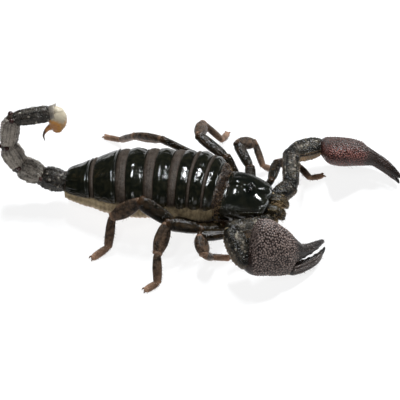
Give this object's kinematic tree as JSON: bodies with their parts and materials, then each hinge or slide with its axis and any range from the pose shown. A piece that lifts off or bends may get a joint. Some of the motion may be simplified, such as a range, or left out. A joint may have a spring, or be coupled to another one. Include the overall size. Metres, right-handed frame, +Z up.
{
  "type": "emperor scorpion still model",
  "caption": "Life-size still model of a large black scorpion with broad grainy claws, standing on its legs with the tail curled up.",
  "frame": {"origin": "centre of the footprint box, on the floor under the feet", "axes": "+X towards the head along the body, +Y to the animal's left, +Z up"},
  "size_m": [0.1732, 0.106, 0.0446],
  "materials": {
    "shell": "glossy black shell, faint green-blue cast",
    "limb": "glossy brown-black shell",
    "foot": "satin red-brown shell",
    "pincer": "grainy satin red-brown shell",
    "tail": "satin dark grey-brown shell",
    "sting": "satin amber shell",
    "eye": "polished black",
    "mouthpart": "satin grey-brown shell",
    "underside": "satin brown shell",
    "comb": "dull tan"
  },
  "bodies": {
    "root": {"carapace": "shell", "median_eye_left": "eye", "median_eye_right": "eye", "chelicera_left": "mouthpart", "chelicera_right": "mouthpart", "prosoma_underside": "underside", "mesosoma_1": "shell", "mesosoma_2": "shell", "mesosoma_3": "shell", "mesosoma_4": "shell", "mesosoma_5": "shell", "mesosoma_6": "shell", "mesosoma_7": "shell", "pectine_left": "comb", "pectine_right": "comb", "metasoma_1": "tail", "metasoma_2": "tail", "metasoma_3": "tail", "metasoma_4": "tail", "metasoma_5": "tail", "telson": "sting", "pedipalp_left_coxa": "underside", "pedipalp_left_trochanter": "limb", "pedipalp_left_femur": "limb", "pedipalp_left_patella": "limb", "pedipalp_left_palm": "pincer", "pedipalp_left_finger": "pincer", "pedipalp_right_coxa": "underside", "pedipalp_right_trochanter": "limb", "pedipalp_right_femur": "limb", "pedipalp_right_patella": "limb", "pedipalp_right_palm": "pincer", "pedipalp_right_finger": "pincer", "leg_right_1_femur": "limb", "leg_right_1_patella": "limb", "leg_right_1_foot": "foot", "leg_right_2_femur": "limb", "leg_right_2_patella": "limb", "leg_right_2_foot": "foot", "leg_right_3_femur": "limb", "leg_right_3_patella": "limb", "leg_right_3_foot": "foot", "leg_right_4_femur": "limb", "leg_right_4_patella": "limb", "leg_right_4_foot": "foot", "leg_left_1_femur": "limb", "leg_left_1_patella": "limb", "leg_left_1_foot": "foot", "leg_left_2_femur": "limb", "leg_left_2_patella": "limb", "leg_left_2_foot": "foot", "leg_left_3_femur": "limb", "leg_left_3_patella": "limb", "leg_left_3_foot": "foot", "leg_left_4_femur": "limb", "leg_left_4_patella": "limb", "leg_left_4_foot": "foot"}
  },
  "joints": []
}
